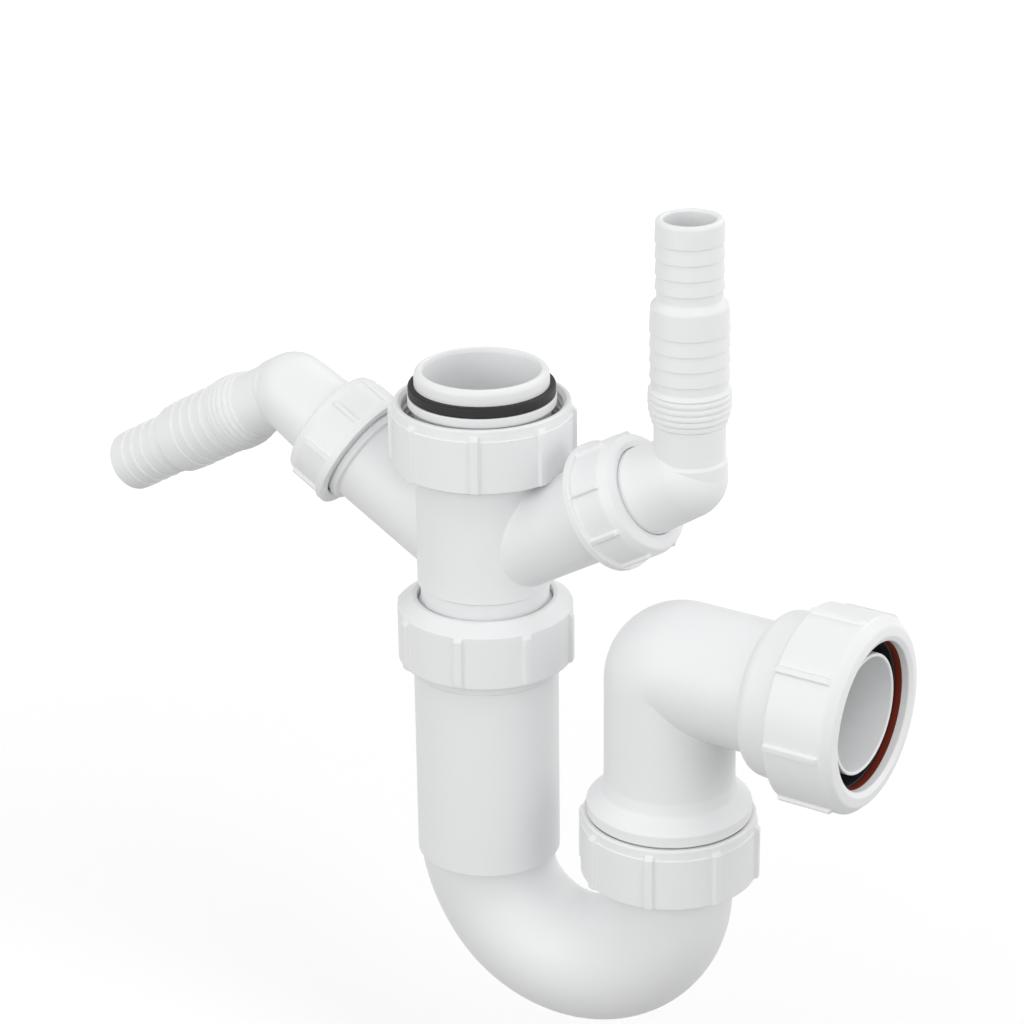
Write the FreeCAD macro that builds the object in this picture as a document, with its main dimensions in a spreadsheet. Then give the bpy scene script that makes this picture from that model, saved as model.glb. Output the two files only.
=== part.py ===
import FreeCAD, Part
import math
import os

# Swivel P trap for a sink: a tee with two hose nozzles, a leg with a return bend, and a turning
# outlet elbow with a compression socket. Millimetres, +Z up. The origin is on the inlet's axis, at
# the face of the inlet washer that seals against the sink waste. +X runs from the inlet leg to the
# riser of the bend.

doc = FreeCAD.newDocument("sink_trap")
sheet = doc.addObject("Spreadsheet::Sheet", "Sizes")

# Every driving dimension: name, number (mm or degrees), what it measures.
DIMENSIONS = [
    ("spigot_radius", 20.1, "outside of the inlet spigot"),
    ("spigot_rise", 4.6, "spigot above the inlet washer"),
    ("spigot_lip_round", 1.7, "rounding of the spigot's outer lip"),
    ("spigot_seat_depth", 0.4, "groove that holds the inlet washer"),
    ("tee_bore", 17.5, "inside radius of the tee"),
    ("tee_radius", 20.4, "outside radius of the tee's tube"),
    ("tee_neck_radius", 19.5, "tee below the step, inside the middle nut"),
    ("tee_neck_from_nut", 4.6, "tee's step above the middle nut's face"),
    ("tee_neck_end", 1.2, "end of that neck below the nut's face"),
    ("flange_radius", 22.1, "flanges that the large nuts pull on"),
    ("flange_thick", 3.0, "thickness of those flanges"),
    ("washer_radius", 21.9, "outside radius of the large flat washers"),
    ("inlet_washer_thick", 3.2, "thickness of the inlet washer"),
    ("joint_washer_thick", 3.0, "thickness of the middle and bend washers"),
    ("nose_length", 7.6, "noses beyond the flanges, inside the sockets"),
    ("nose_radius", 19.3, "outside radius of those noses"),
    ("seat_gap", 0.2, "play between a nut's lip and its flange"),
    ("bore_gap", 0.4, "radial play of noses and male ends"),
    ("nut_hole_gap", 0.6, "radial play of a nut's hole on its tube"),
    ("male_radius", 23.3, "male ends of the leg and the elbow"),
    ("large_nut_body", 26.7, "radius of the middle and bend nuts"),
    ("inlet_nut_body", 27.0, "radius of the inlet nut"),
    ("inlet_mouth_radius", 24.4, "mouth of the inlet nut"),
    ("inlet_nut_drop", 5.1, "inlet nut's mouth below the washer's face"),
    ("large_nut_height", 20.0, "height of the three large union nuts"),
    ("large_lip", 3.2, "thickness of their lips"),
    ("rib_height", 1.1, "grip ribs above the nut's body"),
    ("rib_width", 2.9, "width of a grip rib"),
    ("rib_bevel", 1.1, "slope at a rib's ends"),
    ("rib_start", 1.1, "foot of a rib above the nut's face"),
    ("nut_chamfer", 0.7, "chamfer at the mouth of a union nut"),
    ("nut_taper", 3.4, "height of the taper at the inlet and bend nuts' mouths"),
    ("nut_taper_step", 0.8, "how much that taper takes off the inlet nut's radius"),
    ("nut_face_bevel", 0.6, "slope of the inlet and bend nuts' faces"),
    ("nut_face_land", 5.0, "flat of those faces round the hole"),
    ("middle_nut_dome", 3.2, "slope at the top of the middle nut"),
    ("middle_nut_land", 1.4, "flat round that nut's hole"),
    ("middle_rib_top", 2.6, "top of that nut's ribs below its face"),
    ("outlet_nut_dome", 2.6, "slope at the outlet nut's face"),
    ("outlet_nut_land", 3.2, "flat round the outlet nut's hole"),
    ("outlet_rib_end", 2.3, "end of the outlet nut's ribs behind its face"),
    ("edge_break", 0.5, "small slopes at plain nut edges"),
    ("rib_count", 8, "grip ribs round each nut"),
    ("middle_nut_face", -67.8, "height of the middle nut's top"),
    ("leg_radius", 22.15, "outside of the leg"),
    ("leg_collar_rise", 0.6, "collar under the leg's male end, beyond the leg's outside"),
    ("leg_collar_height", 3.5, "height of that collar"),
    ("leg_wall", 2.4, "wall of the leg"),
    ("bend_radius", 19.5, "outside radius of the return bend's tube"),
    ("bend_wall", 2.4, "wall of the return bend"),
    ("bend_start_radius", 21.3, "bend where it leaves the leg"),
    ("bend_start_angle", 38.0, "turn over which it narrows"),
    ("bend_height", -153.4, "height at which the return bend begins"),
    ("centre_distance", 62.9, "leg's axis to riser's axis"),
    ("outlet_height", -77.2, "height of the outlet's axis"),
    ("elbow_radius", 19.75, "outside radius of the outlet elbow's tube"),
    ("elbow_bore", 16.8, "inside radius of the outlet elbow"),
    ("elbow_centreline", 5.2, "bend radius of the elbow's centreline"),
    ("elbow_collar_radius", 24.9, "flared collar above the bend nut"),
    ("elbow_collar_gap", 0.4, "that collar above the bend nut"),
    ("elbow_collar_height", 3.6, "height of that collar's edge"),
    ("elbow_flare_height", 6.4, "height of its flare"),
    ("elbow_flare_round", 5.0, "hollow where the flare meets the tube"),
    ("bend_nut_face", -126.0, "height of the bend nut's mouth"),
    ("socket_shoulder", 24.7, "radius of the socket at its shoulder"),
    ("socket_round", 4.5, "rounding of that shoulder"),
    ("socket_male_radius", 25.9, "male end of the socket"),
    ("socket_bore", 22.2, "inside of the socket, round the waste pipe"),
    ("socket_wall_back", 2.7, "wall at the socket's closed end"),
    ("socket_end", 62.0, "riser's axis to the socket's mouth"),
    ("socket_length", 27.8, "socket's shoulder to its mouth"),
    ("socket_flare", 2.4, "taper of the mouth that the seal is pressed into"),
    ("liner_radius", 17.9, "outside of the tube inside the socket"),
    ("liner_proud", 2.1, "that tube beyond the socket's mouth"),
    ("outlet_nut_proud", 5.6, "outlet nut's face beyond the socket's mouth"),
    ("outlet_nut_height", 20.8, "length of the outlet nut"),
    ("outlet_nut_body", 29.2, "radius of the outlet nut"),
    ("outlet_hole", 22.1, "hole in the outlet nut for the waste pipe"),
    ("outlet_lip", 3.0, "thickness of the outlet nut's lip"),
    ("slip_washer_thick", 2.0, "thickness of the outlet slip washer"),
    ("seal_bore", 21.45, "inside of the outlet seal"),
    ("seal_tail", 5.0, "seal's reach into the socket, behind its taper"),
    ("inlet_rib_angle", 24.8, "angle of the inlet nut's first rib, from +X"),
    ("middle_rib_angle", 12.3, "angle of the middle nut's first rib"),
    ("bend_rib_angle", 14.0, "angle of the bend nut's first rib"),
    ("outlet_rib_angle", 4.3, "angle of the outlet nut's first rib, from the top"),
    ("left_rib_angle", 9.0, "angle of the left arm nut's first rib"),
    ("right_rib_angle", 17.7, "angle of the right arm nut's first rib"),
    ("outlet_turn", 3.6, "angle at which the outlet elbow is set"),
    ("tee_turn", -2.2, "angle at which the tee is set on the trap"),
    ("arm_height", -55.3, "where the arms' axes meet the inlet's axis"),
    ("arm_slope", 30.1, "arms above the horizontal"),
    ("arm_radius", 14.4, "outside of an arm"),
    ("arm_bore", 11.8, "inside of an arm's mouth, round the nozzle's nose"),
    ("arm_passage", 10.8, "inside of an arm behind that"),
    ("crown_gap", 0.3, "play between the hanging inlet nut and the arms' crowns"),
    ("arm_male_radius", 15.6, "male end of an arm"),
    ("arm_bead_radius", 16.0, "bead behind an arm's male end"),
    ("arm_bead_width", 2.2, "width of that bead"),
    ("arm_root_round", 0.6, "rounding where an arm meets the tube"),
    ("arm_nut_mouth", 49.3, "inlet's axis to an arm nut's mouth, along the arm"),
    ("arm_nut_height", 16.0, "length of an arm nut"),
    ("arm_nut_body", 18.5, "radius of an arm nut"),
    ("arm_nut_rim", 1.2, "arm nut's rim above its body"),
    ("arm_nut_rim_width", 2.6, "width of that rim"),
    ("arm_nut_dome", 3.6, "height of an arm nut's rounded shoulder"),
    ("arm_nut_shoulder", 1.0, "how much that shoulder has drawn in where it is steepest"),
    ("arm_nut_land", 2.2, "flat round an arm nut's hole"),
    ("arm_lip", 3.0, "thickness of an arm nut's lip"),
    ("arm_flange_radius", 15.3, "nozzle's flange inside the nut"),
    ("arm_flange_thick", 2.5, "thickness of that flange"),
    ("arm_washer_thick", 2.0, "thickness of an arm washer"),
    ("arm_nose_length", 7.0, "nozzle's nose inside the arm"),
    ("stub_radius", 13.1, "nozzle where it leaves the nut"),
    ("stub_land", 1.0, "that part's straight length beyond the nut's face"),
    ("stub_bore", 9.9, "inside of that part"),
    ("nozzle_corner", 78.9, "inlet's axis to the nozzle's corner, along the arm"),
    ("nozzle_corner_radius", 12.4, "ball at the nozzle's corner"),
    ("nozzle_offset", 1.6, "nozzle's axis outside the corner's centre"),
    ("nozzle_collar_radius", 10.85, "nozzle just above its elbow"),
    ("nozzle_collar_height", 5.6, "corner to the end of that collar"),
    ("nozzle_bend", 60.2, "turn of the nozzle's elbow"),
    ("nozzle_radius", 10.3, "nozzle between its elbow and its ridges"),
    ("nozzle_bore", 7.4, "inside of the nozzle"),
    ("ridge_start", 16.9, "corner to the ridged stretch"),
    ("ridge_end", 27.7, "corner to the end of the ridged stretch"),
    ("ridge_radius", 12.0, "ridges, outside"),
    ("ridge_depth", 0.65, "depth between the ridges"),
    ("ridge_count", 5, "ridges"),
    ("wide_barb_radius", 11.5, "barbs of the wide stretch"),
    ("wide_barb_start", 31.05, "corner to the first wide barb"),
    ("wide_barb_end", 52.3, "corner to the end of the wide stretch"),
    ("slim_barb_radius", 9.9, "barbs of the slim stretch"),
    ("slim_barb_start", 57.15, "corner to the first slim barb"),
    ("barb_pitch", 4.57, "barb to barb"),
    ("barb_depth", 0.5, "step at a barb"),
    ("barb_count", 4, "barbs on each stretch"),
    ("tip_radius", 9.7, "nozzle's tip"),
    ("tip_end", 77.4, "corner to the end of the nozzle"),
    ("tip_round", 1.5, "rounding of the tip"),
    ("left_nozzle_turn", 178.1, "turn of the left nozzle about its arm, from upright"),
    ("right_nozzle_turn", 0.8, "turn of the right nozzle about its arm, from upright"),
]


class Size:
    """A number together with the sheet formula that it comes from."""

    def __init__(self, value, formula):
        self.value = value
        self.formula = formula

    def __add__(self, other):
        other = as_size(other)
        return Size(self.value + other.value, f"({self.formula} + {other.formula})")

    def __sub__(self, other):
        other = as_size(other)
        return Size(self.value - other.value, f"({self.formula} - {other.formula})")

    def __mul__(self, other):
        other = as_size(other)
        return Size(self.value * other.value, f"({self.formula} * {other.formula})")

    def __truediv__(self, other):
        other = as_size(other)
        return Size(self.value / other.value, f"({self.formula} / {other.formula})")

    def __neg__(self):
        return Size(-self.value, f"(0 - {self.formula})")


def as_size(number):
    if isinstance(number, Size):
        return number
    return Size(float(number), repr(float(number)))


def sine(angle):
    return Size(math.sin(math.radians(angle.value)), f"sin({angle.formula})")


def cosine(angle):
    return Size(math.cos(math.radians(angle.value)), f"cos({angle.formula})")


class Dimensions:
    """The sheet's cells as attributes, such as dim.tee_bore."""


dim = Dimensions()
for row, (name, number, meaning) in enumerate(DIMENSIONS, start=1):
    sheet.set(f"A{row}", name)
    sheet.set(f"B{row}", str(number))
    sheet.set(f"C{row}", meaning)
    sheet.setAlias(f"B{row}", name)
    setattr(dim, name, Size(float(number), f"Sizes.{name}"))
doc.recompute()

ZERO = as_size(0)
CAVITY_OVERLAP = 1.0
RIDGE_CREST_SHARE = 0.18
LOW_RIDGE_SHARES = (1.3, 0.4)


def origin_plane(body, role):
    for feature in body.Origin.OriginFeatures:
        if feature.Role == role:
            return feature
    raise ValueError(role)


def new_sketch(body, name, plane="XZ_Plane", at=(ZERO, ZERO, ZERO), turn=ZERO):
    """A sketch on one of the body's planes, moved within it and turned about its normal."""
    sketch = body.newObject("Sketcher::SketchObject", name)
    sketch.AttachmentSupport = (origin_plane(body, plane), "")
    sketch.MapMode = "FlatFace"
    normal = FreeCAD.Vector(0, 0, 1)
    base = FreeCAD.Vector(*[as_size(part).value for part in at])
    sketch.AttachmentOffset = FreeCAD.Placement(base, FreeCAD.Rotation(normal, as_size(turn).value))
    for axis, part in zip("xyz", at):
        sketch.setExpression(f".AttachmentOffset.Base.{axis}", as_size(part).formula)
    sketch.setExpression(".AttachmentOffset.Rotation.Angle", as_size(turn).formula)
    return sketch


def pin_point(sketch, line, end, x, y):
    """Fix one end of a line by its distances from the sketch's origin."""
    for kind, distance, own_axis in (("DistanceX", x, -2), ("DistanceY", y, -1)):
        if distance.formula == ZERO.formula:
            sketch.addConstraint(Sketcher_constraint("PointOnObject", line, end, own_axis))
        else:
            index = sketch.addConstraint(
                Sketcher_constraint(kind, -1, 1, line, end, distance.value))
            sketch.setExpression(f"Constraints[{index}]", distance.formula)


def draw_outline(sketch, points):
    """A closed outline through the given (across, along) sizes."""
    points = [(as_size(x), as_size(y)) for x, y in points]
    count = len(points)
    for index, (x, y) in enumerate(points):
        next_x, next_y = points[(index + 1) % count]
        start = FreeCAD.Vector(x.value, y.value, 0)
        end = FreeCAD.Vector(next_x.value, next_y.value, 0)
        sketch.addGeometry(Part.LineSegment(start, end))
    for index in range(count):
        sketch.addConstraint(
            Sketcher_constraint("Coincident", index, 2, (index + 1) % count, 1))
    for index, (x, y) in enumerate(points):
        pin_point(sketch, index, 1, x, y)


def turned(body, name, points, at=(ZERO, ZERO, ZERO), turn=ZERO, cut=False, plane="XZ_Plane"):
    """Turn an outline of (radius, height) sizes about the sketch's upright axis."""
    sketch = new_sketch(body, name + "_outline", plane, at, turn)
    draw_outline(sketch, points)
    kind = "PartDesign::Groove" if cut else "PartDesign::Revolution"
    feature = body.newObject(kind, name)
    feature.Profile = sketch
    feature.ReferenceAxis = (sketch, ["V_Axis"])
    feature.Angle = 360
    body.Tip = feature
    return feature


def turned_ball(body, name, radius, at):
    """A ball about a point of the body's XZ plane."""
    sketch = new_sketch(body, name + "_outline", "XZ_Plane", at)
    quarter = math.pi / 2
    arc = Part.Circle(FreeCAD.Vector(0, 0, 0), FreeCAD.Vector(0, 0, 1), radius.value)
    sketch.addGeometry(Part.ArcOfCircle(arc, -quarter, quarter))
    top = FreeCAD.Vector(0, radius.value, 0)
    sketch.addGeometry(Part.LineSegment(top, -top))
    sketch.addConstraint(Sketcher_constraint("Coincident", 0, 3, -1, 1))
    sketch.addConstraint(Sketcher_constraint("Coincident", 0, 2, 1, 1))
    sketch.addConstraint(Sketcher_constraint("Coincident", 1, 2, 0, 1))
    sketch.addConstraint(Sketcher_constraint("PointOnObject", 0, 2, -2))
    sketch.addConstraint(Sketcher_constraint("PointOnObject", 0, 1, -2))
    index = sketch.addConstraint(Sketcher_constraint("Radius", 0, radius.value))
    sketch.setExpression(f"Constraints[{index}]", radius.formula)
    feature = body.newObject("PartDesign::Revolution", name)
    feature.Profile = sketch
    feature.ReferenceAxis = (sketch, ["V_Axis"])
    feature.Angle = 360
    body.Tip = feature
    return feature


def Sketcher_constraint(*parts):
    import Sketcher
    return Sketcher.Constraint(*parts)


def rounded(body, name, radius, rings, tolerance=0.02):
    """Round the circular edges with the given (radius, height along Z) in the body's frame."""
    doc.recompute()
    edges = []
    for number, edge in enumerate(body.Shape.Edges, start=1):
        if not isinstance(edge.Curve, Part.Circle):
            continue
        for ring_radius, height in rings:
            near_radius = abs(edge.Curve.Radius - ring_radius.value) < tolerance
            near_height = abs(edge.Curve.Center.z - height.value) < tolerance
            upright = abs(abs(edge.Curve.Axis.z) - 1) < tolerance
            if near_radius and near_height and upright:
                edges.append(f"Edge{number}")
    return fillet(body, name, radius, edges)


def fillet(body, name, radius, edges):
    base = body.Tip
    feature = body.newObject("PartDesign::Fillet", name)
    feature.Base = (base, edges)
    feature.Radius = radius.value
    feature.setExpression("Radius", radius.formula)
    body.Tip = feature
    return feature


def new_body(label):
    body = doc.addObject("PartDesign::Body", label)
    body.Label = label
    return body


def tilt_to_arm(side):
    """From an arm's own frame (+Z along the arm) to the row frame."""
    set_turn = FreeCAD.Rotation(FreeCAD.Vector(0, 0, 1), dim.tee_turn.value)
    lean = FreeCAD.Rotation(FreeCAD.Vector(0, 1, 0), side * (90 - dim.arm_slope.value))
    base = FreeCAD.Vector(0, 0, dim.arm_height.value)
    return FreeCAD.Placement(base, set_turn.multiply(lean))


def socket_frame():
    """The outlet elbow's frame: its corner at the origin, the outlet along +X."""
    base = FreeCAD.Vector(dim.centre_distance.value, 0, dim.outlet_height.value)
    return FreeCAD.Placement(base, FreeCAD.Rotation(FreeCAD.Vector(0, 0, 1), -dim.outlet_turn.value))


def washer(label, inner, outer, bottom, top, placement=None, relief=None):
    """A flat ring of rubber with softened edges; relief slopes its inner edge at the top."""
    body = new_body(label)
    soft = (top - bottom) * 0.15
    inner_edge = [(inner, top)] if relief is None else [(inner + relief, top), (inner, top - relief)]
    turned(body, label + "_ring", [
        (inner, bottom), (outer - soft, bottom), (outer, bottom + soft),
        (outer, top - soft), (outer - soft, top)] + inner_edge)
    if placement is not None:
        body.Placement = placement
    return body


def union_nut(label, mouth, body_radius, hole, height, lip, rim, taper, dome, land, rib_ends):
    """A nut whose mouth is at z = 0 and whose lip is at z = height, with ribs for the hand.

    rim is the radius at the mouth, taper the height over which it reaches the body's radius, dome
    the height of the slope at the lip, land the flat ring left round the hole, and rib_ends the
    heights between which the ribs stand.
    """
    body = new_body(label)
    turned(body, label + "_shell", [
        (mouth + dim.nut_chamfer, ZERO), (rim, ZERO), (body_radius, taper),
        (body_radius, height - dome), (hole + land, height), (hole, height),
        (hole, height - lip), (mouth, height - lip), (mouth, dim.nut_chamfer)])
    low, high = rib_ends
    crest = body_radius + dim.rib_height
    foot = body_radius - CAVITY_OVERLAP
    slope = dim.rib_bevel + CAVITY_OVERLAP
    rib = new_sketch(body, label + "_rib_side")
    draw_outline(rib, [(foot, low), (crest, low + slope), (crest, high - slope), (foot, high)])
    pad = body.newObject("PartDesign::Pad", label + "_rib")
    pad.Profile = rib
    pad.Midplane = True
    pad.Length = dim.rib_width.value
    pad.setExpression("Length", dim.rib_width.formula)
    ribs = body.newObject("PartDesign::PolarPattern", label + "_ribs")
    ribs.Originals = [pad]
    ribs.Axis = (rib, ["V_Axis"])
    ribs.Angle = 360
    ribs.Occurrences = int(dim.rib_count.value)
    ribs.setExpression("Occurrences", dim.rib_count.formula)
    body.Tip = ribs
    return body


def upright(body, x, height, upside_down, turn):
    """Stand a nut on an upright axis, with its mouth at the given height."""
    flip = FreeCAD.Rotation(FreeCAD.Vector(1, 0, 0), 180 if upside_down else 0)
    spin = FreeCAD.Rotation(FreeCAD.Vector(0, 0, 1), turn.value)
    body.Placement = FreeCAD.Placement(
        FreeCAD.Vector(as_size(x).value, 0, height.value), spin.multiply(flip))


# Heights shared by the pieces of the middle joint, from the nut's face down.
middle_lip_inner = dim.middle_nut_face - dim.large_lip
middle_flange_top = middle_lip_inner - dim.seat_gap
middle_flange_bottom = middle_flange_top - dim.flange_thick
leg_mouth = middle_flange_bottom - dim.joint_washer_thick
middle_nut_mouth = dim.middle_nut_face - dim.large_nut_height

# Heights shared by the pieces of the bend joint, from the nut's mouth down.
bend_nut_lip_face = dim.bend_nut_face - dim.large_nut_height
bend_flange_bottom = bend_nut_lip_face + dim.large_lip + dim.seat_gap
bend_flange_top = bend_flange_bottom + dim.flange_thick
riser_mouth = bend_flange_top + dim.joint_washer_thick

# Distances along an arm.
arm_nut_face = dim.arm_nut_mouth + dim.arm_nut_height
arm_flange_top = arm_nut_face - dim.arm_lip - dim.seat_gap
arm_flange_bottom = arm_flange_top - dim.arm_flange_thick
arm_end = arm_flange_bottom - dim.arm_washer_thick
arm_nose_radius = dim.arm_bore - dim.bore_gap

# Distances along the outlet, from the riser's axis.
socket_start = dim.socket_end - dim.socket_length
liner_end = dim.socket_end + dim.liner_proud
outlet_nut_face = dim.socket_end + dim.outlet_nut_proud
outlet_nut_back = outlet_nut_face - dim.outlet_nut_height
slip_washer_front = outlet_nut_face - dim.outlet_lip - dim.seat_gap / 2
slip_washer_back = slip_washer_front - dim.slip_washer_thick

inlet_washer_back = -dim.inlet_washer_thick
inlet_flange_bottom = inlet_washer_back - dim.flange_thick


def make_tee_body():
    """Inlet spigot, tube, lower nose and the two arms, moulded in one."""
    body = new_body("tee_body")
    step = dim.middle_nut_face + dim.tee_neck_from_nut
    slope = dim.tee_radius - dim.tee_neck_radius
    neck_end = dim.middle_nut_face - dim.tee_neck_end
    nose_end = middle_flange_bottom - dim.nose_length
    turned(body, "tee_tube", [
        (ZERO, dim.spigot_rise),
        (dim.spigot_radius, dim.spigot_rise),
        (dim.spigot_radius, ZERO),
        (dim.spigot_radius - dim.spigot_seat_depth, ZERO),
        (dim.spigot_radius - dim.spigot_seat_depth, inlet_washer_back),
        (dim.flange_radius, inlet_washer_back),
        (dim.flange_radius, inlet_flange_bottom),
        (dim.tee_radius, inlet_flange_bottom),
        (dim.tee_radius, step),
        (dim.tee_neck_radius, step - slope),
        (dim.tee_neck_radius, neck_end),
        (dim.tee_radius, neck_end - slope),
        (dim.tee_radius, middle_flange_top),
        (dim.flange_radius, middle_flange_top),
        (dim.flange_radius, middle_flange_bottom),
        (dim.nose_radius, middle_flange_bottom),
        (dim.nose_radius, nose_end),
        (ZERO, nose_end)])
    bead_end = dim.arm_nut_mouth - dim.seat_gap
    bead_start = bead_end - dim.arm_bead_width
    arm_outline = [
        (ZERO, ZERO), (dim.arm_radius, ZERO), (dim.arm_radius, bead_start),
        (dim.arm_bead_radius, bead_start + (dim.arm_bead_radius - dim.arm_radius) / 3),
        (dim.arm_bead_radius, bead_end), (dim.arm_male_radius, bead_end),
        (dim.arm_male_radius, arm_end), (ZERO, arm_end)]
    at = (ZERO, dim.arm_height, ZERO)
    turn = Size(90.0, "90") - dim.arm_slope
    turned(body, "left_arm", arm_outline, at, turn)
    turned(body, "right_arm", arm_outline, at, -turn)
    round_arm_roots(body)
    rounded(body, "spigot_lip", dim.spigot_lip_round, [(dim.spigot_radius, dim.spigot_rise)])
    crown = -dim.inlet_nut_drop - dim.large_nut_height - dim.crown_gap
    inner = dim.tee_radius + dim.seat_gap / 10
    outer = dim.inlet_nut_body + dim.crown_gap
    clear = dim.inlet_nut_body + dim.rib_height + dim.crown_gap
    turned(body, "arm_crowns", [
        (inner, crown), (outer, crown), (clear, crown + dim.rib_start), (clear, -dim.inlet_nut_drop),
        (inner, -dim.inlet_nut_drop)], cut=True)
    bore_top = dim.spigot_rise + CAVITY_OVERLAP
    bore_bottom = nose_end - CAVITY_OVERLAP
    turned(body, "tee_bore_cut", [
        (ZERO, bore_top), (dim.tee_bore, bore_top), (dim.tee_bore, bore_bottom),
        (ZERO, bore_bottom)], cut=True)
    nose_seat = arm_flange_bottom - dim.arm_nose_length - dim.bore_gap
    arm_hole = [
        (ZERO, ZERO), (dim.arm_passage, ZERO), (dim.arm_passage, nose_seat),
        (dim.arm_bore, nose_seat), (dim.arm_bore, arm_end + CAVITY_OVERLAP),
        (ZERO, arm_end + CAVITY_OVERLAP)]
    turned(body, "left_arm_bore", arm_hole, at, turn, cut=True)
    turned(body, "right_arm_bore", arm_hole, at, -turn, cut=True)
    body.Placement = FreeCAD.Placement(
        FreeCAD.Vector(0, 0, 0),
        FreeCAD.Rotation(FreeCAD.Vector(0, 0, 1), dim.tee_turn.value))
    return body


def round_arm_roots(body):
    """Soften the edges where the arms meet the tube."""
    doc.recompute()
    edges = []
    for number, edge in enumerate(body.Shape.Edges, start=1):
        if isinstance(edge.Curve, (Part.Circle, Part.Line)):
            continue
        box = edge.BoundBox
        if box.ZMax < inlet_flange_bottom.value and box.ZMin > dim.middle_nut_face.value:
            edges.append(f"Edge{number}")
    fillet(body, "arm_roots", dim.arm_root_round, edges)


def make_trap_body():
    """The leg and the return bend, moulded in one, with the flange of the bend joint."""
    body = new_body("trap_body")
    leg_bore = dim.leg_radius - dim.leg_wall
    nose_room = dim.nose_radius + dim.bore_gap
    nose_room_end = middle_flange_bottom - dim.nose_length
    collar_radius = dim.leg_radius + dim.leg_collar_rise
    collar_top = middle_nut_mouth - dim.seat_gap
    collar_bottom = collar_top - dim.leg_collar_height
    turned(body, "leg", [
        (ZERO, leg_mouth), (dim.male_radius, leg_mouth), (dim.male_radius, collar_top),
        (collar_radius, collar_top), (collar_radius, collar_bottom),
        (dim.leg_radius, collar_bottom), (dim.leg_radius, dim.bend_height),
        (ZERO, dim.bend_height)])
    half = dim.centre_distance / 2
    bend_turn(body, "return_bend", dim.bend_radius, half)
    bend_start(body, half)
    riser = (dim.centre_distance, ZERO, ZERO)
    nose_end = bend_flange_top + dim.nose_length
    turned(body, "riser", [
        (ZERO, dim.bend_height), (dim.bend_radius, dim.bend_height),
        (dim.bend_radius, bend_flange_bottom), (dim.flange_radius, bend_flange_bottom),
        (dim.flange_radius, bend_flange_top), (dim.nose_radius, bend_flange_top),
        (dim.nose_radius, nose_end), (ZERO, nose_end)], at=riser)
    bend_bore = dim.bend_radius - dim.bend_wall
    narrowing = dim.leg_wall
    turned(body, "leg_bore", [
        (ZERO, leg_mouth + CAVITY_OVERLAP), (nose_room, leg_mouth + CAVITY_OVERLAP),
        (nose_room, nose_room_end), (leg_bore, collar_bottom),
        (leg_bore, dim.bend_height + narrowing), (bend_bore, dim.bend_height),
        (ZERO, dim.bend_height)], cut=True)
    bend_turn(body, "bend_bore", bend_bore, half, cut=True)
    turned(body, "riser_bore", [
        (ZERO, dim.bend_height), (bend_bore, dim.bend_height),
        (bend_bore, nose_end + CAVITY_OVERLAP), (ZERO, nose_end + CAVITY_OVERLAP)],
        at=riser, cut=True)
    return body


def bend_turn(body, name, radius, half, cut=False):
    """Half a ring: a circle at the leg's foot, turned about a level axis midway to the riser."""
    sketch = new_sketch(body, name + "_section", "XY_Plane", (half, ZERO, dim.bend_height))
    centre = FreeCAD.Vector(-half.value, 0, 0)
    sketch.addGeometry(Part.Circle(centre, FreeCAD.Vector(0, 0, 1), radius.value))
    sketch.addConstraint(Sketcher_constraint("PointOnObject", 0, 3, -1))
    index = sketch.addConstraint(Sketcher_constraint("DistanceX", -1, 1, 0, 3, -half.value))
    sketch.setExpression(f"Constraints[{index}]", (-half).formula)
    index = sketch.addConstraint(Sketcher_constraint("Radius", 0, radius.value))
    sketch.setExpression(f"Constraints[{index}]", radius.formula)
    feature = body.newObject("PartDesign::Groove" if cut else "PartDesign::Revolution", name)
    feature.Profile = sketch
    feature.ReferenceAxis = (sketch, ["V_Axis"])
    feature.Angle = 180
    feature.Reversed = True
    body.Tip = feature
    return feature


def bend_start(body, half):
    """The first part of the bend, which narrows from the leg to the tube."""
    steps = 4
    sections = []
    for step in range(steps + 1):
        share = step / steps
        angle = dim.bend_start_angle * share
        spare = (1 - share) ** 2
        radius = dim.bend_radius + (dim.bend_start_radius - dim.bend_radius) * spare
        at = (half - half * cosine(angle), ZERO, dim.bend_height - half * sine(angle))
        sketch = new_sketch(body, f"bend_start_{step}", "XY_Plane", at)
        sketch.AttachmentOffset = FreeCAD.Placement(
            FreeCAD.Vector(*[part.value for part in at]),
            FreeCAD.Rotation(FreeCAD.Vector(0, -1, 0), angle.value))
        sketch.addGeometry(Part.Circle(
            FreeCAD.Vector(0, 0, 0), FreeCAD.Vector(0, 0, 1), radius.value))
        sketch.addConstraint(Sketcher_constraint("Coincident", 0, 3, -1, 1))
        index = sketch.addConstraint(Sketcher_constraint("Radius", 0, radius.value))
        sketch.setExpression(f"Constraints[{index}]", radius.formula)
        sections.append(sketch)
    feature = body.newObject("PartDesign::AdditiveLoft", "bend_start")
    feature.Profile = sections[0]
    feature.Sections = sections[1:]
    feature.Ruled = False
    body.Tip = feature


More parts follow.
